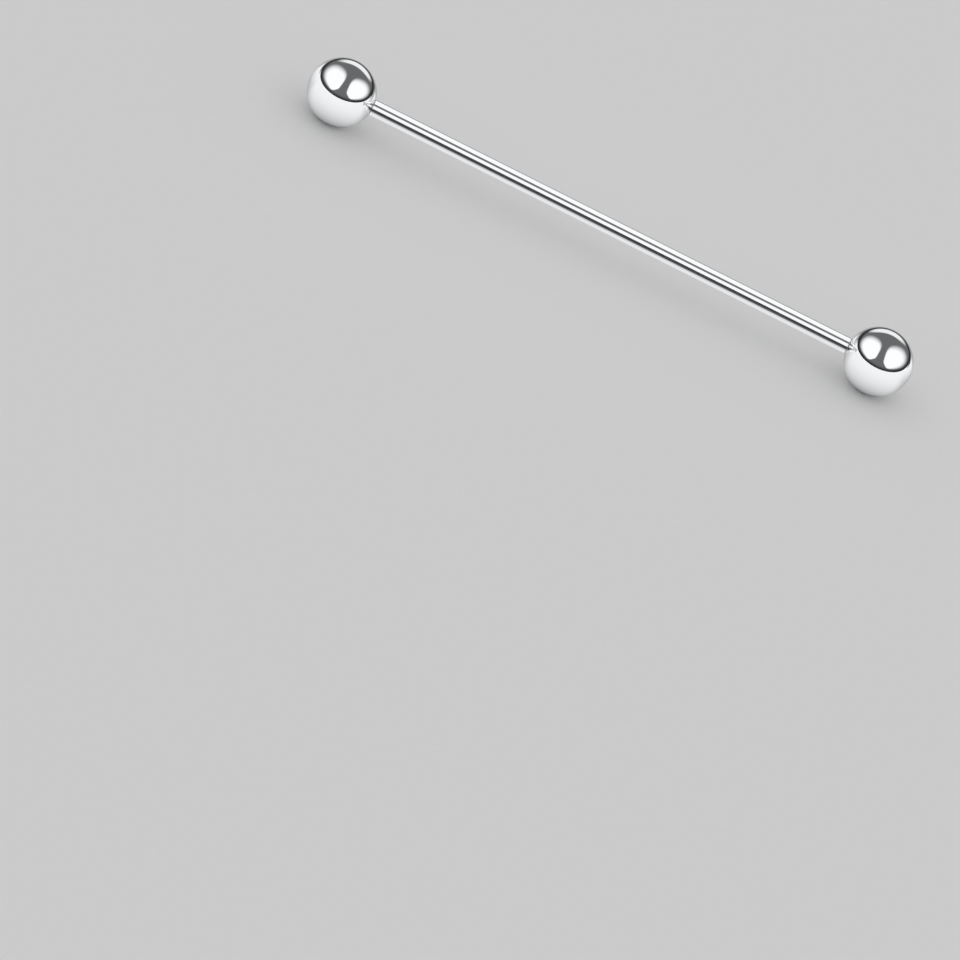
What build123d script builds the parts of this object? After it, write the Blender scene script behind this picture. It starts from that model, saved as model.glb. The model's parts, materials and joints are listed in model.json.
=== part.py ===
from build123d import *

import math
import os

# An industrial barbell of body jewellery: a long straight steel bar that joins two piercings,
# with a ball screwed on each end. Each end of the bar is a fine thread, and each ball has a
# blind hole that the thread goes into.
#
# +X runs along the bar and +Z is up. The barbell lies on its two balls, and the origin is on
# the surface below the middle of the bar. All sizes are in millimetres.

# Driving sizes: a 16 gauge bar, 38 mm between the balls, and 5 mm balls.
BAR_DIAMETER = 1.2
WEARABLE_LENGTH = 38.0
BALL_DIAMETER = 5.0

# The plain shank of the bar, and how far its ends sit inside the balls.
SHANK_SEATING = 0.16
SHANK_END_CHAMFER = 0.03

# The right-hand thread on each end of the bar, between a relief and a point of its root's size.
THREAD_DIAMETER = 1.12
THREAD_PITCH = 0.25
THREAD_TURNS = 9
RELIEF_LENGTH = 0.15
POINT_LENGTH = 0.20
POINT_CHAMFER = 0.08
FLANK_STEPS = 5

# The hole in each ball: a shallow seat for the shank's end, and a drilled hole behind it.
SEAT_CLEARANCE = 0.03
SEAT_DEPTH = 0.18
MOUTH_CHAMFER = 0.06
HOLE_CLEARANCE = 0.02
HOLE_END_ROOM = 0.15
DRILL_POINT_ANGLE = 118.0

bar_radius = BAR_DIAMETER / 2
ball_radius = BALL_DIAMETER / 2
ball_centre_x = WEARABLE_LENGTH / 2 + ball_radius
axis_height = ball_radius

# A metric thread's depth, crest and root flats follow from its pitch. The flats and flanks are
# given as shares of one turn.
thread_radius = THREAD_DIAMETER / 2
root_radius = thread_radius - 0.613 * THREAD_PITCH
crest_share = 1 / 8
root_share = 1 / 4
flank_share = (1 - crest_share - root_share) / 2
thread_length = THREAD_TURNS * THREAD_PITCH

# The hole, as distances from the ball's centre towards the bar.
seat_radius = bar_radius + SEAT_CLEARANCE
mouth_radius = seat_radius + MOUTH_CHAMFER
mouth_distance = math.sqrt(ball_radius**2 - mouth_radius**2)
seat_distance = mouth_distance - SEAT_DEPTH
shank_end_distance = mouth_distance - SHANK_SEATING
point_distance = shank_end_distance - RELIEF_LENGTH - thread_length - POINT_LENGTH
hole_radius = thread_radius + HOLE_CLEARANCE
hole_end_distance = point_distance - HOLE_END_ROOM
drill_point_depth = hole_radius / math.tan(math.radians(DRILL_POINT_ANGLE / 2))

shank_end_x = ball_centre_x - shank_end_distance


def turned(*corners):
    """The solid that a lathe makes from (place along the axis, radius) corners, turned about X."""
    return revolve(make_face(Polyline(*corners, close=True)), Axis.X)


def at_turn(radius, turn):
    """The point at a radius and a share of one turn, in the plane across the thread."""
    angle = math.tau * turn
    return (radius * math.cos(angle), radius * math.sin(angle))


def flat(radius, start, share):
    """A flat of the thread, which is an arc in the plane across it."""
    return ThreePointArc(
        at_turn(radius, start),
        at_turn(radius, start + share / 2),
        at_turn(radius, start + share),
    )


def flank(start_radius, end_radius, start):
    """A flank of the thread, which is a part of a spiral in the plane across it."""
    steps = [step / FLANK_STEPS for step in range(FLANK_STEPS + 1)]
    return Spline(
        *(
            at_turn(start_radius + (end_radius - start_radius) * step, start + flank_share * step)
            for step in steps
        )
    )


def thread():
    """The threaded length along +Z: its cross-section, turned evenly as it is drawn out."""
    crest_end = crest_share / 2
    root_start = crest_end + flank_share
    root_end = root_start + root_share
    section = Wire(
        [
            *flat(thread_radius, -crest_end, crest_share).edges(),
            *flank(thread_radius, root_radius, crest_end).edges(),
            *flat(root_radius, root_start, root_share).edges(),
            *flank(root_radius, thread_radius, root_end).edges(),
        ]
    )
    return Solid.extrude_linear_with_rotation(
        Face(section), (0, 0, 0), (0, 0, thread_length), 360 * THREAD_TURNS
    )


def threaded_end():
    """The +X end of the bar beyond the shank: the relief, the thread and the chamfered point."""
    thread_start = shank_end_x + RELIEF_LENGTH
    point_start = thread_start + thread_length
    point_end = point_start + POINT_LENGTH
    relief = turned(
        (shank_end_x, 0),
        (shank_end_x, root_radius),
        (thread_start, root_radius),
        (thread_start, 0),
    )
    point = turned(
        (point_start, 0),
        (point_start, root_radius),
        (point_end - POINT_CHAMFER, root_radius),
        (point_end, root_radius - POINT_CHAMFER),
        (point_end, 0),
    )
    return relief + Pos(thread_start, 0, 0) * Rotation(0, 90, 0) * thread() + point


def bar():
    """The bar: the plain shank with a threaded end at each side, as one solid."""
    chamfer_radius = bar_radius - SHANK_END_CHAMFER
    chamfer_x = shank_end_x - SHANK_END_CHAMFER
    shank = turned(
        (-shank_end_x, 0),
        (-shank_end_x, chamfer_radius),
        (-chamfer_x, bar_radius),
        (chamfer_x, bar_radius),
        (shank_end_x, chamfer_radius),
        (shank_end_x, 0),
    )
    right_end = threaded_end()
    left_end = Rotation(0, 0, 180) * right_end
    return Pos(0, 0, axis_height) * (shank + right_end + left_end)


def ball(side):
    """A ball with its blind hole facing the bar; side is 1 at the +X end and -1 at the other."""
    hole = turned(
        (-ball_radius, 0),
        (-ball_radius, mouth_radius),
        (-mouth_distance, mouth_radius),
        (-mouth_distance + MOUTH_CHAMFER, seat_radius),
        (-seat_distance, seat_radius),
        (-seat_distance, hole_radius),
        (-hole_end_distance, hole_radius),
        (-hole_end_distance + drill_point_depth, 0),
    )
    # The sphere's seam is at the top, away from the surface that the ball rests on.
    right_ball = Rotation(0, -90, 0) * Sphere(ball_radius) - hole
    facing = Rotation(0, 0, 0 if side > 0 else 180)
    return Pos(side * ball_centre_x, 0, axis_height) * facing * right_ball


if __name__ == "__main__":
    nodes = {
        "bar": bar(),
        "ball_left": ball(-1),
        "ball_right": ball(1),
    }
    os.makedirs("parts", exist_ok=True)
    for name, solid in nodes.items():
        export_step(solid, f"parts/{name}.step")
        print(name, round(solid.volume, 3), "mm3, valid:", solid.is_valid)
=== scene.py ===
"""A long straight steel barbell of body jewellery, with a ball screwed on each end of its bar.

The barbell lies on its two balls on a pale studio floor. Lengths are in metres, +X runs along the
bar, +Z is up, and the camera stands on the -Y side.
"""

import json
import logging
import math
from dataclasses import dataclass, field
from enum import Enum, IntEnum
from typing import Any, Sequence

import bmesh
import bpy
from bpy.types import ID, Collection, Material, Mesh, Node, NodeSocket, NodeTree, Object, World
from mathutils import Matrix, Vector


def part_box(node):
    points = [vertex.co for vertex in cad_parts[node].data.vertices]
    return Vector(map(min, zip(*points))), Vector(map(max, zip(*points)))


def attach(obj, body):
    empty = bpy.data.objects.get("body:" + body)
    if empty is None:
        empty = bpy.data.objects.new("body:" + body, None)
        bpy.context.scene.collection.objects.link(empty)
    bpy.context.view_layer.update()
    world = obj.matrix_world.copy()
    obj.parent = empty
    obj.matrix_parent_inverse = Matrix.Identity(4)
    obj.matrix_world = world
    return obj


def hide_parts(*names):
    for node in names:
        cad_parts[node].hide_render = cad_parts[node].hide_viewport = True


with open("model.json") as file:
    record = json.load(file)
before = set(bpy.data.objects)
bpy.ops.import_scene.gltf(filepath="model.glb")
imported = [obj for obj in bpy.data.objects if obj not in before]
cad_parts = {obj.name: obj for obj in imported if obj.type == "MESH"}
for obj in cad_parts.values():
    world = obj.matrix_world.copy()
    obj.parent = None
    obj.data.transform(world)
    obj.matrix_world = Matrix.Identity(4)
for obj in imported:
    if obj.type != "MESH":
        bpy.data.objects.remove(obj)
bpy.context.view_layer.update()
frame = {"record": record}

MM = 0.001
SHANK = frame["record"]["mounts"][0]
AXIS_HEIGHT = SHANK["pos_m"][2]
LOG = logging.getLogger("barbell")

# A range that starts and ends gently, as the edge of a soft shade does.
SOFT_STEP = {"interpolation_type": "SMOOTHSTEP"}

# The corners of a square, in order round it.
SQUARE = ((-1, -1), (1, -1), (1, 1), (-1, 1))


# Colours, nodes and meshes

def linear(hex_colour: str) -> tuple[float, float, float, float]:
    """Turns an sRGB hex colour to linear light.

    Args:
        hex_colour: The colour as six hex digits after a hash sign.

    Returns:
        Red, green, blue and alpha for a shader's socket.
    """
    channels = [int(hex_colour[place:place + 2], 16) / 255 for place in (1, 3, 5)]
    light = [c / 12.92 if c <= 0.04045 else ((c + 0.055) / 1.055) ** 2.4 for c in channels]
    return (light[0], light[1], light[2], 1.0)


def add_node(
    tree: NodeTree,
    kind: str,
    settings: dict[str, Any] | None = None,
    inputs: dict[str | int, Any] | None = None,
) -> Node:
    """Adds one node with its settings and links.

    Args:
        tree: The node tree that takes the node.
        kind: The node's type name.
        settings: The node's own properties and their values.
        inputs: A value, or another node's output to link, for each named or numbered input.

    Returns:
        The new node.
    """
    node = tree.nodes.new(kind)
    for name, value in (settings or {}).items():
        setattr(node, name, value)
    for socket, value in (inputs or {}).items():
        if isinstance(value, NodeSocket):
            tree.links.new(value, node.inputs[socket])
        else:
            node.inputs[socket].default_value = value
    return node


def new_material(name: str) -> tuple[Material, NodeTree]:
    """Makes an empty node material.

    Args:
        name: The material's name.

    Returns:
        The material and its node tree.
    """
    material = bpy.data.materials.new(name)
    material.use_nodes = True
    material.node_tree.nodes.clear()
    return material, material.node_tree


def link_object(name: str, data: ID) -> Object:
    """Puts an object into the scene.

    Args:
        name: The object's name.
        data: The mesh or the camera that it holds.

    Returns:
        The object.
    """
    made = bpy.data.objects.new(name, data)
    bpy.context.scene.collection.objects.link(made)
    return made


# Finishes of the steel

@dataclass(frozen=True)
class SteelFinish:
    """What the finishes of the 316L stainless steel share: bare metal with a fine noise on it."""

    name: str
    colour: str
    least_roughness: float
    most_roughness: float
    relief_depth: float
    relief_strength: float = 1.0
    noise_low: float = 0.3
    noise_high: float = 0.7

    def add_metal(
        self,
        tree: NodeTree,
        dullness: NodeSocket,
        relief: NodeSocket,
        more: dict[str, Any] | None = None,
    ) -> None:
        """Ends a material as bare metal.

        Args:
            tree: The material's node tree.
            dullness: The noise that the roughness follows.
            relief: The noise that the bumps follow.
            more: Any other inputs of the metal.
        """
        roughness = add_node(tree, "ShaderNodeMapRange", inputs={
            "Value": dullness,
            "From Min": self.noise_low,
            "From Max": self.noise_high,
            "To Min": self.least_roughness,
            "To Max": self.most_roughness,
        })
        bump = add_node(tree, "ShaderNodeBump", inputs={
            "Height": relief,
            "Strength": self.relief_strength,
            "Distance": self.relief_depth,
        })
        shader = add_node(tree, "ShaderNodeBsdfPrincipled", inputs={
            "Base Color": linear(self.colour),
            "Metallic": 1.0,
            "Roughness": roughness.outputs["Result"],
            "Normal": bump.outputs["Normal"],
            **(more or {}),
        })
        add_node(tree, "ShaderNodeOutputMaterial", inputs={"Surface": shader.outputs["BSDF"]})


@dataclass(frozen=True)
class MirrorPolishedSteel(SteelFinish):
    """316L stainless steel, lapped round and buffed to a mirror.

    The eye sees the room in it, hardly dimmed, with edges only a little soft. Buffing leaves a
    faint haze that comes and goes, and hairlines that only show close up.
    """

    name: str = "mirror_polished_316L_stainless_steel"
    colour: str = "#DCDDDF"
    least_roughness: float = 0.035
    most_roughness: float = 0.07
    noise_low: float = 0.35
    noise_high: float = 0.65
    haze_size: float = 1.4 * MM
    # Real buffing hairlines are about 2 microns apart, which is too fine to show.
    hairline_spacing: float = 0.045 * MM
    hairline_stretch: float = 9.0
    relief_depth: float = 0.00012 * MM

    def material(self) -> Material:
        """Builds the node material.

        Returns:
            The mirror polish, patterned in the piece's own coordinates.
        """
        material, tree = new_material(self.name)
        place = add_node(tree, "ShaderNodeTexCoord").outputs["Object"]
        haze = add_node(tree, "ShaderNodeTexNoise", inputs={
            "Vector": place,
            "Scale": 1 / self.haze_size,
            "Detail": 3.0,
            "Roughness": 0.55,
        })
        stretched = add_node(tree, "ShaderNodeVectorMath", {"operation": "MULTIPLY"}, {
            0: place,
            1: (1.0, 1.0 / self.hairline_stretch, 1.0 / self.hairline_stretch),
        })
        hairlines = add_node(tree, "ShaderNodeTexNoise", inputs={
            "Vector": stretched.outputs["Vector"],
            "Scale": 1 / self.hairline_spacing,
            "Detail": 2.0,
        })
        self.add_metal(tree, haze.outputs["Fac"], hairlines.outputs["Fac"])
        return material


@dataclass(frozen=True)
class GroundPolishedSteel(SteelFinish):
    """316L stainless steel bar, centreless-ground and then polished bright.

    The grinding leaves the finest of lines round the bar. They smear what the bar mirrors along
    its length and not across it, so the eye sees clean bright and dark bands from end to end.
    """

    name: str = "ground_and_polished_316L_stainless_steel"
    colour: str = "#DCDDDF"
    least_roughness: float = 0.14
    most_roughness: float = 0.18
    anisotropy: float = 0.9
    # The smear is a quarter turn off the tangent that runs round the bar.
    smear_turn: float = 0.25
    # Real grinding lines are about 10 microns apart, which is too fine to show.
    line_spacing: float = 0.05 * MM
    line_stretch: float = 40.0
    relief_depth: float = 0.0003 * MM

    def material(self) -> Material:
        """Builds the node material.

        Returns:
            The ground and polished finish, whose lines run round the X axis.
        """
        material, tree = new_material(self.name)
        place = add_node(tree, "ShaderNodeTexCoord").outputs["Object"]
        stretched = add_node(tree, "ShaderNodeVectorMath", {"operation": "MULTIPLY"}, {
            0: place,
            1: (1.0, 1.0 / self.line_stretch, 1.0 / self.line_stretch),
        })
        lines = add_node(tree, "ShaderNodeTexNoise", inputs={
            "Vector": stretched.outputs["Vector"],
            "Scale": 1 / self.line_spacing,
            "Detail": 3.0,
            "Roughness": 0.6,
        }).outputs["Fac"]
        round_the_bar = add_node(
            tree, "ShaderNodeTangent", {"direction_type": "RADIAL", "axis": "X"}
        )
        self.add_metal(tree, lines, lines, {
            "Anisotropic": self.anisotropy,
            "Anisotropic Rotation": self.smear_turn,
            "Tangent": round_the_bar.outputs["Tangent"],
        })
        return material


@dataclass(frozen=True)
class CutThreadSteel(SteelFinish):
    """316L stainless steel as the thread die, the drill and the tap leave it.

    It is bright but satin, and the tool's fine chatter breaks up what it mirrors.
    """

    name: str = "thread_cut_316L_stainless_steel"
    colour: str = "#C9CACC"
    least_roughness: float = 0.22
    most_roughness: float = 0.38
    chatter_size: float = 0.06 * MM
    relief_depth: float = 0.002 * MM
    relief_strength: float = 0.6

    def material(self) -> Material:
        """Builds the node material.

        Returns:
            The satin of freshly cut steel.
        """
        material, tree = new_material(self.name)
        chatter = add_node(tree, "ShaderNodeTexNoise", inputs={
            "Vector": add_node(tree, "ShaderNodeTexCoord").outputs["Object"],
            "Scale": 1 / self.chatter_size,
            "Detail": 3.0,
        }).outputs["Fac"]
        self.add_metal(tree, chatter, chatter)
        return material


# Turned pieces

class Surface(IntEnum):
    """The two finishes on a turned piece, in the order of its material slots."""

    POLISHED = 0
    CUT = 1


# A corner of a turned outline: its place along the axis, its radius, and the finish after it.
Corner = tuple[float, float, Surface]


@dataclass(frozen=True)
class Ring:
    """One ring of points round a turned piece, and the finish of the face that follows it."""

    places: Sequence[float]
    radii: Sequence[float]
    surface: Surface


@dataclass(frozen=True)
class ThreadForm:
    """The form of a thread: how its height changes over one pitch.

    A height of one is the thread's crest on the bar, or its groove in a ball.
    """

    pitch: float
    base_radius: float
    height: float
    top_share: float = 1 / 8
    base_share: float = 1 / 4
    run_out: float = 0.6

    def corners(self) -> list[tuple[float, float]]:
        """Works out the corners of the form over one pitch.

        Returns:
            The share of the pitch and the height at each corner.
        """
        flank_share = (1 - self.top_share - self.base_share) / 2
        return [
            (0.0, 1.0),
            (self.top_share, 1.0),
            (self.top_share + flank_share, 0.0),
            (self.top_share + flank_share + self.base_share, 0.0),
        ]


@dataclass
class TurnedPiece:
    """A skin of rings round the X axis, closed if its first and last ring are points on the axis.

    Rings go from the piece's first end to its last. A screw's rings each climb by one pitch in a
    turn, so the last point of such a ring meets the first point of the ring one pitch further on.
    """

    sides: int
    rings: list[Ring] = field(default_factory=list)
    screws: list[tuple[int, int, int]] = field(default_factory=list)
    sharp_angle: float = 25.0
    weld_distance: float = 0.00001 * MM

    def add_plain(self, place: float, radius: float, surface: Surface) -> None:
        """Adds a plain ring at a place along the axis."""
        self.rings.append(Ring([place] * self.sides, [radius] * self.sides, surface))

    def add_corners(self, corners: Sequence[Corner], direction: int = 1) -> None:
        """Adds a plain ring for each corner, on the +X side or on the -X side."""
        for place, radius, surface in corners:
            self.add_plain(direction * place, radius, surface)

    def add_screw(self, start: float, turns: int, form: ThreadForm, surface: Surface) -> None:
        """Adds the rings of a right-hand screw that runs along +X.

        Args:
            start: Where the screw starts along the axis.
            turns: How many whole turns it has.
            form: The thread's pitch, depth and flats.
            surface: The finish of its faces.
        """
        first = len(self.rings)
        end = start + turns * form.pitch
        for turn in range(-1, turns + 1):
            for phase, height in form.corners():
                places = []
                radii = []
                for side in range(self.sides):
                    place = start + (turn + phase + side / self.sides) * form.pitch
                    place = min(max(place, start), end)
                    fade = min(place - start, end - place) / (form.run_out * form.pitch)
                    fade = min(max(fade, 0.0), 1.0)
                    places.append(place)
                    radii.append(form.base_radius + form.height * height * fade)
                self.rings.append(Ring(places, radii, surface))
        self.screws.append((first, len(self.rings) - 1, len(form.corners())))

    def partner(self, ring: int) -> int:
        """Says which ring the last point of a ring goes on to.

        Args:
            ring: The number of the ring.

        Returns:
            The ring's own number, or the number of the ring one pitch on.
        """
        for first, last, per_pitch in self.screws:
            if first <= ring <= last:
                return min(ring + per_pitch, last)
        return ring

    def mesh(self, name: str, place: Matrix) -> Mesh:
        """Builds the skin.

        Args:
            name: The mesh's name.
            place: Puts the piece's own coordinates in the frame.

        Returns:
            The mesh, with sharp edges wherever it turns by more than the sharp angle.
        """
        skin = bmesh.new()
        angles = [math.tau * side / self.sides for side in range(self.sides)]
        points = [
            [
                skin.verts.new(place @ Vector((x, r * math.cos(a), r * math.sin(a))))
                for x, r, a in zip(ring.places, ring.radii, angles)
            ]
            for ring in self.rings
        ]
        for number in range(len(self.rings) - 1):
            for side in range(self.sides):
                wraps = side == self.sides - 1
                here = self.partner(number) if wraps else number
                there = self.partner(number + 1) if wraps else number + 1
                other = (side + 1) % self.sides
                corners = [
                    points[number][side],
                    points[here][other],
                    points[there][other],
                    points[number + 1][side],
                ]
                if len(set(corners)) < 3:
                    continue
                face = skin.faces.new(list(dict.fromkeys(corners)))
                face.smooth = True
                face.material_index = self.rings[number].surface
        bmesh.ops.remove_doubles(skin, verts=skin.verts, dist=self.weld_distance)
        bmesh.ops.dissolve_degenerate(skin, edges=skin.edges, dist=self.weld_distance)
        bmesh.ops.recalc_face_normals(skin, faces=skin.faces)
        mesh = bpy.data.meshes.new(name)
        skin.to_mesh(mesh)
        skin.free()
        mesh.set_sharp_from_angle(angle=math.radians(self.sharp_angle))
        return mesh


def turned_round(outline: Sequence[Corner]) -> list[Corner]:
    """Reverses an outline, and keeps each face's finish.

    Args:
        outline: The outline's corners.

    Returns:
        The same from the last corner to the first.
    """
    surfaces = [Surface.CUT, *(surface for _, _, surface in outline[:-1])]
    return [
        (place, radius, surface)
        for (place, radius, _), surface in reversed(list(zip(outline, surfaces)))
    ]


@dataclass
class Bar:
    """The bar: a plain shank with a relief, a thread and a chamfered point at each end."""

    radius: float = SHANK["dims"]["r_mm"] * MM
    shank_chamfer: float = 0.03 * MM
    seating: float = 0.16 * MM
    neck_width: float = 0.08 * MM
    neck_depth: float = 0.05 * MM
    thread_radius: float = 0.56 * MM
    thread_depth_share: float = 0.613
    pitch: float = 0.25 * MM
    turns: int = 9
    relief_length: float = 0.15 * MM
    point_length: float = 0.20 * MM
    point_chamfer: float = 0.08 * MM
    sides: int = 96
    shank_spans: int = 48

    @property
    def root_radius(self) -> float:
        """The thread's root radius, from a metric thread's depth as a share of its pitch."""
        return self.thread_radius - self.thread_depth_share * self.pitch

    @property
    def end(self) -> float:
        """The place of the bar's right end along the axis."""
        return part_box("bar")[1].x

    @property
    def shank_end(self) -> float:
        """The place of the shank's right end along the axis."""
        return self.end - self.point_length - self.turns * self.pitch - self.relief_length

    def end_outline(self) -> list[Corner]:
        """Gives the plain corners of the right end, from its tip to where the thread starts.

        Returns:
            The outline's corners.
        """
        point_start = self.end - self.point_length
        return [
            (self.end, 0.0, Surface.CUT),
            (self.end, self.root_radius - self.point_chamfer, Surface.CUT),
            (self.end - self.point_chamfer, self.root_radius, Surface.CUT),
            (point_start, self.root_radius, Surface.CUT),
        ]

    def shank_outline(self) -> list[Corner]:
        """Gives the corners of the shank's right end, from the relief to past the neck.

        The neck is the fine groove that shows as a dark line where the bar enters a ball.

        Returns:
            The outline's corners.
        """
        neck = self.shank_end - self.seating
        return [
            (self.shank_end + self.relief_length, self.root_radius, Surface.CUT),
            (self.shank_end, self.root_radius, Surface.CUT),
            (self.shank_end, self.radius - self.shank_chamfer, Surface.CUT),
            (self.shank_end - self.shank_chamfer, self.radius, Surface.POLISHED),
            (neck, self.radius, Surface.CUT),
            (neck - self.neck_width / 2, self.radius - self.neck_depth, Surface.CUT),
            (neck - self.neck_width, self.radius, Surface.POLISHED),
        ]

    def build(
        self, shank_finish: GroundPolishedSteel, thread_finish: CutThreadSteel
    ) -> Object:
        """Builds and dresses the bar.

        Args:
            shank_finish: The finish of the shank.
            thread_finish: The finish of both threaded ends.

        Returns:
            The bar, riding on its own body.
        """
        piece = TurnedPiece(self.sides)
        form = ThreadForm(self.pitch, self.root_radius, self.thread_radius - self.root_radius)
        piece.add_corners(self.end_outline(), -1)
        piece.add_screw(self.point_length - self.end, self.turns, form, Surface.CUT)
        piece.add_corners(self.shank_outline(), -1)
        reach = self.shank_end - self.seating - self.neck_width
        for span in range(1, self.shank_spans):
            place = reach * (2 * span / self.shank_spans - 1)
            piece.add_plain(place, self.radius, Surface.POLISHED)
        piece.add_corners(turned_round(self.shank_outline()))
        piece.add_screw(self.shank_end + self.relief_length, self.turns, form, Surface.CUT)
        piece.add_corners(turned_round(self.end_outline()))
        lift = Matrix.Translation((0.0, 0.0, AXIS_HEIGHT))
        made = link_object("barbell_bar", piece.mesh("barbell_bar", lift))
        made.data.materials.append(shank_finish.material())
        made.data.materials.append(thread_finish.material())
        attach(made, "bar")
        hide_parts("bar")
        return made


class Side(Enum):
    """The two ends of the barbell, as the sign of X there."""

    LEFT = -1
    RIGHT = 1


@dataclass
class Ball:
    """One ball, with the countersunk, tapped blind hole that it screws on by.

    Its own coordinates have the ball's centre at the origin and the hole's mouth towards -X.
    """

    side: Side
    seat_radius: float = 0.63 * MM
    seat_depth: float = 0.18 * MM
    mouth_chamfer: float = 0.06 * MM
    hole_radius: float = 0.58 * MM
    hole_end: float = 0.507 * MM
    drill_point_angle: float = 118.0
    pitch: float = 0.25 * MM
    turns: int = 9
    groove_depth: float = 0.035 * MM
    sides: int = 192
    sphere_rings: int = 128

    @property
    def node(self) -> str:
        """The name of the ball's node and body."""
        return f"ball_{self.side.name.lower()}"

    @property
    def radius(self) -> float:
        """The ball's radius, which is its centre's height above the floor."""
        return AXIS_HEIGHT

    @property
    def centre(self) -> Vector:
        """Works out the ball's centre.

        Returns:
            The centre in the frame, a radius in from the ball's outer end.
        """
        low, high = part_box(self.node)
        outer = high.x if self.side is Side.RIGHT else low.x
        return Vector((outer - self.side.value * self.radius, 0.0, AXIS_HEIGHT))

    def outline(self, piece: TurnedPiece) -> None:
        """Adds the rings of the ball and its hole to a turned piece.

        Args:
            piece: The piece that takes the rings.
        """
        mouth_radius = self.seat_radius + self.mouth_chamfer
        mouth_angle = math.asin(mouth_radius / self.radius)
        mouth = self.radius * math.cos(mouth_angle)
        seat = mouth - self.seat_depth
        for ring in range(self.sphere_rings + 1):
            angle = (math.pi - mouth_angle) * ring / self.sphere_rings
            place = self.radius * math.cos(angle)
            surface = Surface.CUT if ring == self.sphere_rings else Surface.POLISHED
            piece.add_plain(place, self.radius * math.sin(angle), surface)
        piece.add_plain(-mouth + self.mouth_chamfer, self.seat_radius, Surface.CUT)
        piece.add_plain(-seat, self.seat_radius, Surface.CUT)
        piece.add_plain(-seat, self.hole_radius, Surface.CUT)
        form = ThreadForm(self.pitch, self.hole_radius, self.groove_depth)
        piece.add_screw(-seat + self.pitch / 2, self.turns, form, Surface.CUT)
        piece.add_plain(self.hole_end, self.hole_radius, Surface.CUT)
        drill_point = self.hole_radius / math.tan(math.radians(self.drill_point_angle / 2))
        piece.add_plain(self.hole_end + drill_point, 0.0, Surface.CUT)

    def build(self, skin_finish: MirrorPolishedSteel, hole_finish: CutThreadSteel) -> Object:
        """Builds and dresses the ball.

        Args:
            skin_finish: The finish of the sphere.
            hole_finish: The finish of the countersink and the tapped hole.

        Returns:
            The ball, riding on its own body.
        """
        piece = TurnedPiece(self.sides)
        self.outline(piece)
        half_turn = Matrix.Rotation(0.0 if self.side is Side.RIGHT else math.pi, 4, "Z")
        place = Matrix.Translation(self.centre) @ half_turn
        name = f"{self.node}_polished"
        made = link_object(name, piece.mesh(name, place))
        made.data.materials.append(skin_finish.material())
        made.data.materials.append(hole_finish.material())
        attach(made, self.node)
        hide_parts(self.node)
        return made


# The studio

@dataclass(frozen=True)
class PaperFloor:
    """A roll of pale matt paper, as flat as a table. It looks even, without gloss."""

    name: str = "pale_matt_studio_paper"
    colour: str = "#E7E7E7"
    reach: float = 1500 * MM
    fibre_size: float = 0.6 * MM
    fibre_contrast: float = 0.012

    def material(self) -> Material:
        """Builds the node material.

        Returns:
            Matt paper with the faintest of fibres.
        """
        material, tree = new_material(self.name)
        place = add_node(tree, "ShaderNodeTexCoord").outputs["Object"]
        fibres = add_node(tree, "ShaderNodeTexNoise", inputs={
            "Vector": place,
            "Scale": 1 / self.fibre_size,
            "Detail": 2.0,
        })
        brightness = add_node(tree, "ShaderNodeMapRange", inputs={
            "Value": fibres.outputs["Fac"],
            "To Min": 1.0 - self.fibre_contrast,
            "To Max": 1.0 + self.fibre_contrast,
        })
        colour = add_node(tree, "ShaderNodeVectorMath", {"operation": "SCALE"}, {
            0: linear(self.colour)[:3],
            "Scale": brightness.outputs["Result"],
        })
        shader = add_node(tree, "ShaderNodeBsdfDiffuse", inputs={
            "Color": colour.outputs["Vector"],
        })
        add_node(tree, "ShaderNodeOutputMaterial", inputs={"Surface": shader.outputs["BSDF"]})
        return material

    def build(self) -> Object:
        """Lays the floor at the height of the balls' lowest points.

        Returns:
            The floor.
        """
        made = patch_object("studio_floor", flat_corners(self.reach, 0.0))
        made.data.materials.append(self.material())
        made.visible_glossy = False
        return made


def flat_corners(reach: float, height: float) -> list[Vector]:
    """Gives the corners of a level square round the origin, from half its width and its height."""
    return [Vector((x * reach, y * reach, height)) for x, y in SQUARE]


def mirrored(corners: Sequence[Vector], stretch: float) -> tuple[Vector, ...]:
    """Gives the corners seen in a mirror across the YZ plane, stretched away from it."""
    return tuple(Vector((-stretch * corner.x, corner.y, corner.z)) for corner in corners)


def patch_object(
    name: str, corners: Sequence[Vector], spans: int = 1, margin: float = 0.0
) -> Object:
    """Makes a four-cornered patch whose UV map runs from 0 to 1 between its corners.

    Args:
        name: The object's name.
        corners: The corners, in order round the patch.
        spans: How many faces the patch has along each side.
        margin: How far the mesh goes on past the corners, as a share of each side.

    Returns:
        The patch.
    """
    skin = bmesh.new()
    uv = skin.loops.layers.uv.new("patch")
    shares = [-margin + (1 + 2 * margin) * step / spans for step in range(spans + 1)]
    points = []
    for t in shares:
        low = [corners[0].lerp(corners[1], s) for s in shares]
        high = [corners[3].lerp(corners[2], s) for s in shares]
        points.append([skin.verts.new(a.lerp(b, t)) for a, b in zip(low, high)])
    for row in range(spans):
        for column in range(spans):
            cells = [(row, column), (row, column + 1), (row + 1, column + 1), (row + 1, column)]
            face = skin.faces.new([points[r][c] for r, c in cells])
            for loop, (r, c) in zip(face.loops, cells):
                loop[uv].uv = (shares[c], shares[r])
    mesh = bpy.data.meshes.new(name)
    skin.to_mesh(mesh)
    skin.free()
    return link_object(name, mesh)


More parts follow.
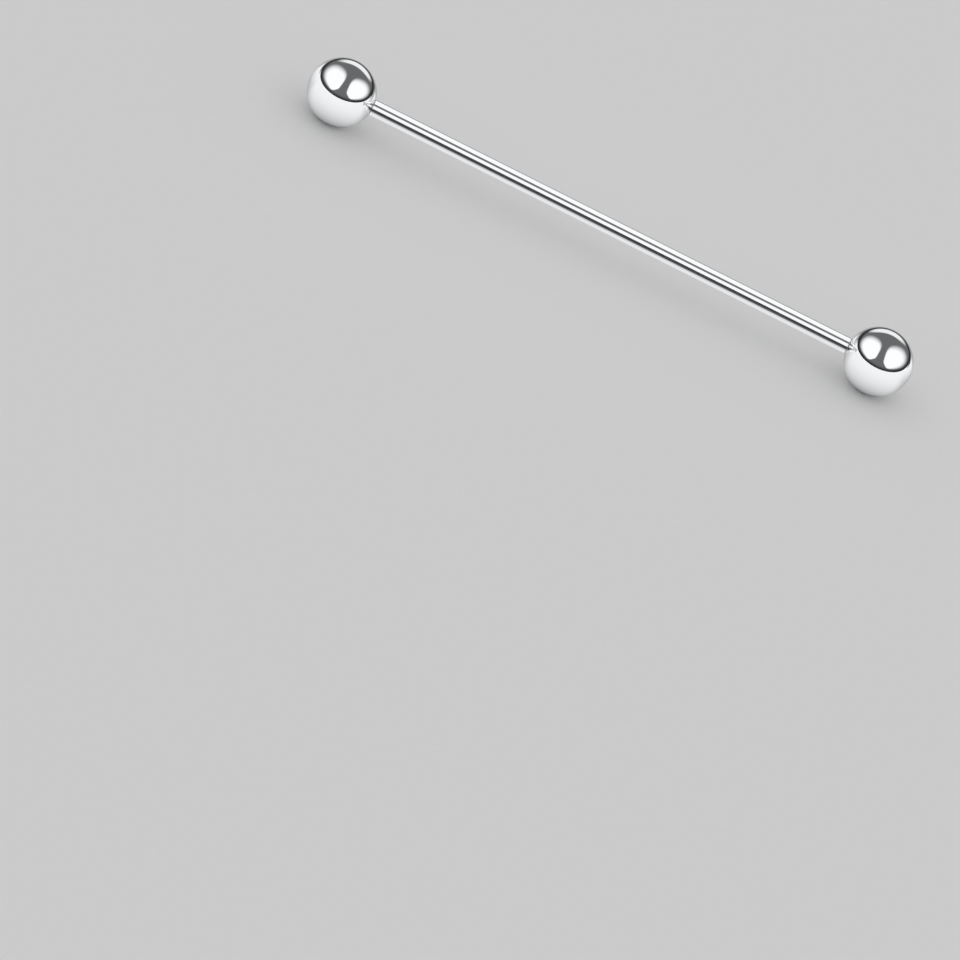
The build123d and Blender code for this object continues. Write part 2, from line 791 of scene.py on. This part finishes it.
def add_glow(tree: NodeTree, strength: NodeSocket | float) -> None:
    """Ends a material as a clear sheet that glows.

    Args:
        tree: The material's node tree.
        strength: The glow's radiance.
    """
    glow = add_node(tree, "ShaderNodeEmission", inputs={"Strength": strength})
    clear = add_node(tree, "ShaderNodeBsdfTransparent")
    both = add_node(tree, "ShaderNodeAddShader", inputs={
        0: glow.outputs["Emission"],
        1: clear.outputs["BSDF"],
    })
    add_node(tree, "ShaderNodeOutputMaterial", inputs={"Surface": both.outputs["Shader"]})


def front_to_back(
    tree: NodeTree, first: float, steps: Sequence[tuple[float, float, float]]
) -> NodeSocket:
    """Adds an amount that changes gently from the front of the studio to its back.

    Args:
        tree: The material's node tree.
        first: The amount at the front.
        steps: Where each change starts and ends along Y, and the amount after it.

    Returns:
        The amount.
    """
    place = add_node(tree, "ShaderNodeTexCoord").outputs["Object"]
    across = add_node(tree, "ShaderNodeSeparateXYZ", inputs={"Vector": place}).outputs["Y"]
    amount = first
    for start, end, after in steps:
        amount = add_node(tree, "ShaderNodeMapRange", SOFT_STEP, {
            "Value": across,
            "From Min": start,
            "From Max": end,
            "To Min": amount,
            "To Max": after,
        }).outputs["Result"]
    return amount


@dataclass(frozen=True)
class MirroredGlow:
    """A glowing thing of the studio that shows only in the pieces that are to mirror it."""

    name: str

    def shape(self) -> Object:
        """Makes the bare object."""
        raise NotImplementedError

    def light(self, tree: NodeTree) -> NodeSocket:
        """Adds the radiance from place to place to the material's node tree."""
        raise NotImplementedError

    def build(self, lit: Collection) -> Object:
        """Builds the thing, which mirrors find by themselves, so it isn't sampled as a lamp.

        Args:
            lit: The pieces that mirror it.

        Returns:
            The thing.
        """
        material, tree = new_material(f"{self.name}_glow")
        add_glow(tree, self.light(tree))
        material.cycles.emission_sampling = "NONE"
        made = self.shape()
        made.data.materials.append(material)
        made.visible_camera = False
        made.visible_diffuse = False
        made.visible_transmission = False
        made.visible_shadow = False
        made.light_linking.receiver_collection = lit
        return made


@dataclass(frozen=True)
class Softbox(MirroredGlow):
    """A softbox: a glowing sheet with rounded corners and a soft edge."""

    corners: tuple[Vector, ...]
    radiance: float
    squareness: float = 3.2
    edge_start: float = 0.55
    edge_end: float = 1.45
    spans: int = 2
    margin: float = 0.15

    def shape(self) -> Object:
        """Makes the sheet."""
        return patch_object(self.name, self.corners, self.spans, self.margin)

    def light(self, tree: NodeTree) -> NodeSocket:
        """Adds the glow, which fades out past a superellipse in the sheet's own UV map.

        Args:
            tree: The material's node tree.

        Returns:
            The radiance.
        """
        place = add_node(tree, "ShaderNodeUVMap", {"uv_map": "patch"}).outputs["UV"]
        centred = add_node(tree, "ShaderNodeVectorMath", {"operation": "MULTIPLY_ADD"}, {
            0: place,
            1: (2.0, 2.0, 0.0),
            2: (-1.0, -1.0, 0.0),
        })
        positive = add_node(tree, "ShaderNodeVectorMath", {"operation": "ABSOLUTE"}, {
            0: centred.outputs["Vector"],
        })
        powers = add_node(tree, "ShaderNodeVectorMath", {"operation": "POWER"}, {
            0: positive.outputs["Vector"],
            1: (self.squareness, self.squareness, 1.0),
        })
        reach = add_node(tree, "ShaderNodeVectorMath", {"operation": "DOT_PRODUCT"}, {
            0: powers.outputs["Vector"],
            1: (1.0, 1.0, 0.0),
        })
        return add_node(tree, "ShaderNodeMapRange", SOFT_STEP, {
            "Value": reach.outputs["Value"],
            "From Min": self.edge_start,
            "From Max": self.edge_end,
            "To Min": self.radiance,
            "To Max": 0.0,
        }).outputs["Result"]


@dataclass(frozen=True)
class MirroredTable(MirroredGlow):
    """A painted reflection of a white table top: a glowing sheet in the place of the paper, as one
    kind of piece mirrors it.
    """

    depth: float
    reach: float = 1400 * MM

    def shape(self) -> Object:
        """Makes the table top, just below the paper."""
        return patch_object(self.name, flat_corners(self.reach, -self.depth))


@dataclass(frozen=True)
class BallTable(MirroredTable):
    """The table that the balls mirror, with a painted shade round and behind each ball.

    The painted shade is deepest where a ball touches the table. A wider, softer painted shade lies
    behind each ball, away from the softboxes, and fans out as it goes back.
    """

    name: str = "table_in_the_balls"
    depth: float = 0.05 * MM
    ball_places: tuple[float, ...] = ()
    radiance: float = 1.22
    # The rest set the painted shade: round where each ball touches, behind each ball, and in a fan
    # straight back.
    back_radiance: float = 0.55
    back_start: float = 5.0 * MM
    back_end: float = 12.0 * MM
    far_radiance: float = 0.4
    far_start: float = 20.0 * MM
    far_end: float = 60.0 * MM
    contact_spread: float = 1.8 * MM
    shade_spread: float = 5.5 * MM
    shade_offset: float = 5.0 * MM
    shade_strength: float = 0.85
    shade_start: float = -2.0 * MM
    shade_end: float = 2.0 * MM
    fan_slope_start: float = 0.5
    fan_slope_end: float = 0.9
    nearest: float = 1.0 * MM

    def light(self, tree: NodeTree) -> NodeSocket:
        """Adds the glow, which dims near and behind each ball.

        Args:
            tree: The material's node tree.

        Returns:
            The radiance.
        """
        place = add_node(tree, "ShaderNodeTexCoord").outputs["Object"]
        strength = front_to_back(
            tree, 0.0, [(self.shade_start, self.shade_end, self.shade_strength)]
        )
        in_fan = front_to_back(tree, 1.0, [
            (self.back_start, self.back_end, self.back_radiance / self.radiance),
            (self.far_start, self.far_end, self.far_radiance / self.radiance),
        ])
        radiance = self.radiance
        # Each ball darkens the glow with painted shade: where it touches, behind it, and in a fan
        # straight back.
        for ball_place in self.ball_places:
            from_ball, from_shade = (
                add_node(tree, "ShaderNodeVectorMath", {"operation": "SUBTRACT"}, {
                    0: place,
                    1: (ball_place, back, -self.depth),
                }).outputs["Vector"]
                for back in (0.0, self.shade_offset)
            )
            for kept in (
                self.outside_spot(tree, from_ball, self.contact_spread, 1.0),
                self.outside_spot(tree, from_shade, self.shade_spread, strength),
                self.outside_fan(tree, from_ball, in_fan),
            ):
                radiance = add_node(tree, "ShaderNodeMath", {"operation": "MULTIPLY"}, {
                    0: radiance,
                    1: kept,
                }).outputs["Value"]
        return radiance

    def outside_spot(
        self,
        tree: NodeTree,
        from_spot: NodeSocket,
        spread: float,
        strength: NodeSocket | float,
    ) -> NodeSocket:
        """Adds a soft round shade.

        Args:
            tree: The material's node tree.
            from_spot: The place on the table, from the middle of the shade.
            spread: How far out the shade has lost half its strength.
            strength: The share of the light that the shade takes in its middle.

        Returns:
            The share of the light that is left.
        """
        square = add_node(tree, "ShaderNodeVectorMath", {"operation": "DOT_PRODUCT"}, {
            0: from_spot,
            1: from_spot,
        })
        total = add_node(tree, "ShaderNodeMath", {"operation": "ADD"}, {
            0: square.outputs["Value"],
            1: spread**2,
        })
        shade = add_node(tree, "ShaderNodeMath", {"operation": "DIVIDE"}, {
            0: spread**2,
            1: total.outputs["Value"],
        })
        lost = add_node(tree, "ShaderNodeMath", {"operation": "MULTIPLY"}, {
            0: shade.outputs["Value"],
            1: strength,
        })
        return add_node(tree, "ShaderNodeMath", {"operation": "SUBTRACT"}, {
            0: 1.0,
            1: lost.outputs["Value"],
        }).outputs["Value"]

    def outside_fan(
        self, tree: NodeTree, from_ball: NodeSocket, in_fan: NodeSocket
    ) -> NodeSocket:
        """Adds the shade that fans out straight behind a ball.

        Args:
            tree: The material's node tree.
            from_ball: The place on the table, from the ball's lowest point.
            in_fan: The share of the light that is left in the middle of the fan.

        Returns:
            The share of the light that is left.
        """
        split = add_node(tree, "ShaderNodeSeparateXYZ", inputs={"Vector": from_ball})
        aside = add_node(tree, "ShaderNodeMath", {"operation": "ABSOLUTE"}, {
            0: split.outputs["X"],
        })
        back = add_node(tree, "ShaderNodeMath", {"operation": "MAXIMUM"}, {
            0: split.outputs["Y"],
            1: self.nearest,
        })
        slope = add_node(tree, "ShaderNodeMath", {"operation": "DIVIDE"}, {
            0: aside.outputs["Value"],
            1: back.outputs["Value"],
        })
        return add_node(tree, "ShaderNodeMapRange", SOFT_STEP, {
            "Value": slope.outputs["Value"],
            "From Min": self.fan_slope_start,
            "From Max": self.fan_slope_end,
            "To Min": in_fan,
            "To Max": 1.0,
        }).outputs["Result"]


@dataclass(frozen=True)
class BarTable(MirroredTable):
    """The strip of table that the bar mirrors below its axis, with a dark table on both sides.

    It is a painted reflection: a glowing sheet whose bands give the bar its bright and dark lines.
    """

    name: str = "table_in_the_bar"
    depth: float = 0.1 * MM
    radiance: float = 1.1
    dark_radiance: float = 0.05
    front_end: float = -7.2 * MM
    front_start: float = -1.5 * MM
    back_start: float = -0.8 * MM
    back_end: float = 3.0 * MM
    back_radiance: float = 0.55
    far_start: float = 5.5 * MM
    far_end: float = 10.0 * MM

    def light(self, tree: NodeTree) -> NodeSocket:
        """Adds the glow, which is brightest just in front of the bar.

        Args:
            tree: The material's node tree.

        Returns:
            The radiance.
        """
        return front_to_back(tree, self.dark_radiance, [
            (self.front_end, self.front_start, self.radiance),
            (self.back_start, self.back_end, self.back_radiance),
            (self.far_start, self.far_end, self.dark_radiance),
        ])


@dataclass(frozen=True)
class FarTable(MirroredGlow):
    """The far edge of the balls' table, which turns up a little all round, as a painted reflection
    that glows in the balls.

    Its back is dark, and the change starts and ends at two shares of its radius.
    """

    name: str = "far_table_edge"
    radius: float = 1350 * MM
    rise: float = 4.6
    radiance: float = 1.24
    back_radiance: float = 0.07
    back_start: float = 0.3
    back_end: float = 0.65
    sides: int = 64

    def light(self, tree: NodeTree) -> NodeSocket:
        """Adds the glow, which dims behind the barbell.

        Args:
            tree: The material's node tree.

        Returns:
            The radiance.
        """
        start = self.back_start * self.radius
        end = self.back_end * self.radius
        return front_to_back(tree, self.radiance, [(start, end, self.back_radiance)])

    def shape(self) -> Object:
        """Makes the upturned edge.

        Returns:
            The edge, turned round the upright axis.
        """
        piece = TurnedPiece(self.sides)
        rise = self.radius * math.tan(math.radians(self.rise))
        for height in (0.0, AXIS_HEIGHT + rise):
            piece.add_plain(height, self.radius, Surface.POLISHED)
        upright = Matrix.Rotation(-math.pi / 2, 4, "Y")
        return link_object(self.name, piece.mesh(self.name, upright))


@dataclass(frozen=True)
class OverheadSilk:
    """A broad white silk overhead, which lights the paper evenly and isn't mirrored anywhere."""

    name: str = "overhead_silk"
    reach: float = 2500 * MM
    height: float = 600 * MM
    radiance: float = 0.59

    def build(self) -> Object:
        """Hangs the silk.

        Returns:
            The silk.
        """
        made = patch_object(self.name, flat_corners(self.reach, self.height))
        material, tree = new_material(f"{self.name}_glow")
        add_glow(tree, self.radiance)
        material.cycles.emission_sampling = "NONE"
        made.data.materials.append(material)
        made.visible_camera = False
        made.visible_glossy = False
        made.visible_shadow = False
        return made


@dataclass(frozen=True)
class StudioRoom:
    """The dim room round the lights, as the steel mirrors it.

    A dark rim stands on the horizon, and the walls and ceiling are an even grey.
    """

    colour: str = "#FFFFFF"
    rim_start: float = 6.0
    rim_end: float = 18.0
    rim_radiance_front: float = 0.03
    rim_radiance_back: float = 0.02
    wall_radiance: float = 0.19

    def build(self) -> World:
        """Builds the world and makes it the scene's own.

        Returns:
            The world.
        """
        world = bpy.data.worlds.new("studio_room")
        world.use_nodes = True
        world.cycles.sampling_method = "NONE"
        tree = world.node_tree
        tree.nodes.clear()
        direction = add_node(tree, "ShaderNodeTexCoord").outputs["Generated"]
        split = add_node(tree, "ShaderNodeSeparateXYZ", inputs={"Vector": direction})
        rim = add_node(tree, "ShaderNodeMapRange", inputs={
            "Value": split.outputs["Y"],
            "From Min": -1.0,
            "From Max": 0.0,
            "To Min": self.rim_radiance_front,
            "To Max": self.rim_radiance_back,
        })
        wall = add_node(tree, "ShaderNodeMapRange", SOFT_STEP, {
            "Value": split.outputs["Z"],
            "From Min": math.sin(math.radians(self.rim_start)),
            "From Max": math.sin(math.radians(self.rim_end)),
            "To Min": rim.outputs["Result"],
            "To Max": self.wall_radiance,
        })
        background = add_node(tree, "ShaderNodeBackground", inputs={
            "Color": linear(self.colour),
            "Strength": wall.outputs["Result"],
        })
        add_node(tree, "ShaderNodeOutputWorld", inputs={
            "Surface": background.outputs["Background"],
        })
        bpy.context.scene.world = world
        return world


@dataclass(frozen=True)
class Backdrop:
    """A pale dome that only the camera sees, so that low views end in paper and not in the room."""

    name: str = "studio_backdrop"
    radius: float = 1500 * MM
    radiance: float = 0.62
    sides: int = 48
    rings: int = 24

    def build(self) -> Object:
        """Builds the dome.

        Returns:
            The dome.
        """
        piece = TurnedPiece(self.sides)
        for ring in range(self.rings + 1):
            angle = math.pi * ring / self.rings
            place = self.radius * math.cos(angle)
            piece.add_plain(place, self.radius * math.sin(angle), Surface.POLISHED)
        made = link_object(self.name, piece.mesh(self.name, Matrix.Identity(4)))
        material, tree = new_material(f"{self.name}_paper")
        glow = add_node(tree, "ShaderNodeEmission", inputs={"Strength": self.radiance})
        add_node(tree, "ShaderNodeOutputMaterial", inputs={"Surface": glow.outputs["Emission"]})
        made.data.materials.append(material)
        made.visible_diffuse = False
        made.visible_glossy = False
        made.visible_shadow = False
        return made


@dataclass(frozen=True)
class Studio:
    """The floor, the lights and the room.

    Two tall softboxes in front and a low strip behind show up in the balls. The bar has two long
    strips of its own and a panel past each end, set to give it its bright bands, as a bar is lit
    in a studio. A silk overhead lights the paper.
    """

    key_corners: tuple[Vector, ...] = (
        Vector((-215, 183, 38)) * MM,
        Vector((-430, -664, 189)) * MM,
        Vector((-256, -900, 562)) * MM,
        Vector((-39, -55, 414)) * MM,
    )
    key_radiance: float = 1.18
    right_key_stretch: float = 1.05
    strip_corners: tuple[Vector, ...] = (
        Vector((-115, 200, 46)) * MM,
        Vector((115, 200, 46)) * MM,
        Vector((115, 200, 165)) * MM,
        Vector((-115, 200, 165)) * MM,
    )
    strip_radiance: float = 1.0
    bar_strip_distance: float = 250 * MM
    bar_strip_reach: float = 600 * MM
    bar_strip_radiance: float = 1.14
    bar_front_elevations: tuple[float, float] = (15.0, 57.0)
    bar_back_elevations: tuple[float, float] = (85.0, 168.0)
    bar_end_distance: float = 600 * MM
    bar_end_reach: float = 400 * MM
    bar_end_radiance: float = 0.8

    def bar_strip_corners(self, elevations: tuple[float, float]) -> tuple[Vector, ...]:
        """Works out the corners of a long strip parallel to the bar.

        Args:
            elevations: The strip's edges, in degrees up from the front and over the bar.

        Returns:
            The corners, in order round the strip.
        """
        low, high = (
            Vector((0.0, -math.cos(math.radians(e)), math.sin(math.radians(e))))
            * self.bar_strip_distance
            for e in elevations
        )
        reach = Vector((self.bar_strip_reach, 0.0, 0.0))
        return (low - reach, low + reach, high + reach, high - reach)

    def bar_end_corners(self, side: Side) -> tuple[Vector, ...]:
        """Works out the corners of the upright panel past one end of the bar.

        Args:
            side: The end of the bar.

        Returns:
            The corners, in order round the panel.
        """
        x = side.value * self.bar_end_distance
        return tuple(Vector((x, y * self.bar_end_reach, z * self.bar_end_reach)) for y, z in SQUARE)

    def ball_lights(self) -> list[Softbox]:
        """Gives the lights that the balls mirror.

        Returns:
            Two softboxes in front and a strip behind.
        """
        right_key = mirrored(self.key_corners, self.right_key_stretch)
        return [
            Softbox("softbox_left", self.key_corners, self.key_radiance),
            Softbox("softbox_right", right_key, self.key_radiance),
            Softbox(
                "strip_behind",
                self.strip_corners,
                self.strip_radiance,
                squareness=2.5,
                edge_start=0.3,
                edge_end=1.9,
                margin=0.2,
            ),
        ]

    def bar_lights(self) -> list[Softbox]:
        """Gives the lights that the bar mirrors.

        Returns:
            Two long strips and a panel past each end.
        """
        front = self.bar_strip_corners(self.bar_front_elevations)
        back = self.bar_strip_corners(self.bar_back_elevations)
        return [
            Softbox("bar_strip_front", front, self.bar_strip_radiance),
            Softbox("bar_strip_back", back, self.bar_strip_radiance),
            *(
                Softbox(
                    f"bar_end_panel_{side.name.lower()}",
                    self.bar_end_corners(side),
                    self.bar_end_radiance,
                )
                for side in Side
            ),
        ]

    def build(self, bar: Object, balls: Sequence[Object] ) -> list[Object]:
        """Builds everything round the barbell.

        Args:
            bar: The finished bar.
            balls: The finished balls.

        Returns:
            The floor, the dome, the tables and the lights.
        """
        StudioRoom().build()
        by_bar = bpy.data.collections.new("lit_by_the_bar_strips")
        by_bar.objects.link(bar)
        by_balls = bpy.data.collections.new("lit_by_the_softboxes")
        for ball in balls:
            by_balls.objects.link(ball)
        places = tuple(Ball(side).centre.x for side in Side)
        return [
            PaperFloor().build(),
            Backdrop().build(),
            OverheadSilk().build(),
            BallTable(ball_places=places).build(by_balls),
            FarTable().build(by_balls),
            BarTable().build(by_bar),
            *(light.build(by_balls) for light in self.ball_lights()),
            *(light.build(by_bar) for light in self.bar_lights()),
        ]


@dataclass(frozen=True)
class PhotographCamera:
    """The camera, placed by where the photograph's 960 pixel frame shows the barbell."""

    lens: float = 400.0
    sensor: float = 36.0
    frame_pixels: float = 960.0
    barbell_x_pixels: float = 610.2
    barbell_y_pixels: float = 226.8
    distance: float = 763.9 * MM
    elevation: float = 28.53
    roll: float = 26.65

    def build(self) -> Object:
        """Builds the camera and makes it the scene's own.

        Returns:
            The camera.
        """
        rise = math.radians(self.elevation)
        lean = math.radians(self.roll)
        level = Vector((1.0, 0.0, 0.0))
        back = Vector((0.0, -math.cos(rise), math.sin(rise)))
        upright = Vector((0.0, math.sin(rise), math.cos(rise)))
        right = level * math.cos(lean) + upright * math.sin(lean)
        up = upright * math.cos(lean) - level * math.sin(lean)
        focal_pixels = self.lens / self.sensor * self.frame_pixels
        per_pixel = self.distance / focal_pixels
        across = (self.barbell_x_pixels - self.frame_pixels / 2) * per_pixel
        above = (self.frame_pixels / 2 - self.barbell_y_pixels) * per_pixel
        middle = Vector((0.0, 0.0, AXIS_HEIGHT))
        data = bpy.data.cameras.new("photograph_camera")
        data.lens = self.lens
        data.sensor_width = self.sensor
        data.clip_start = 100 * MM
        data.clip_end = 5000 * MM
        made = link_object("photograph_camera", data)
        turn = Matrix((right, up, back)).transposed().to_4x4()
        place = middle + back * self.distance - right * across - up * above
        made.matrix_world = Matrix.Translation(place) @ turn
        bpy.context.scene.camera = made
        return made


def main() -> None:
    """Builds the camera, the barbell and the studio, and reports each piece."""
    logging.basicConfig(level=logging.INFO, format="%(name)s: %(message)s")
    bpy.context.scene.view_settings.view_transform = "Standard"
    PhotographCamera().build()
    mirror_polish = MirrorPolishedSteel()
    thread_cut = CutThreadSteel()
    bar = Bar().build(GroundPolishedSteel(), thread_cut)
    balls = [Ball(side).build(mirror_polish, thread_cut) for side in Side]
    for piece in (bar, *balls):
        LOG.info("%s has %d faces", piece.name, len(piece.data.polygons))
    for thing in Studio().build(bar, balls):
        LOG.info("%s stands round the barbell", thing.name)


if __name__ == "__main__":
    main()
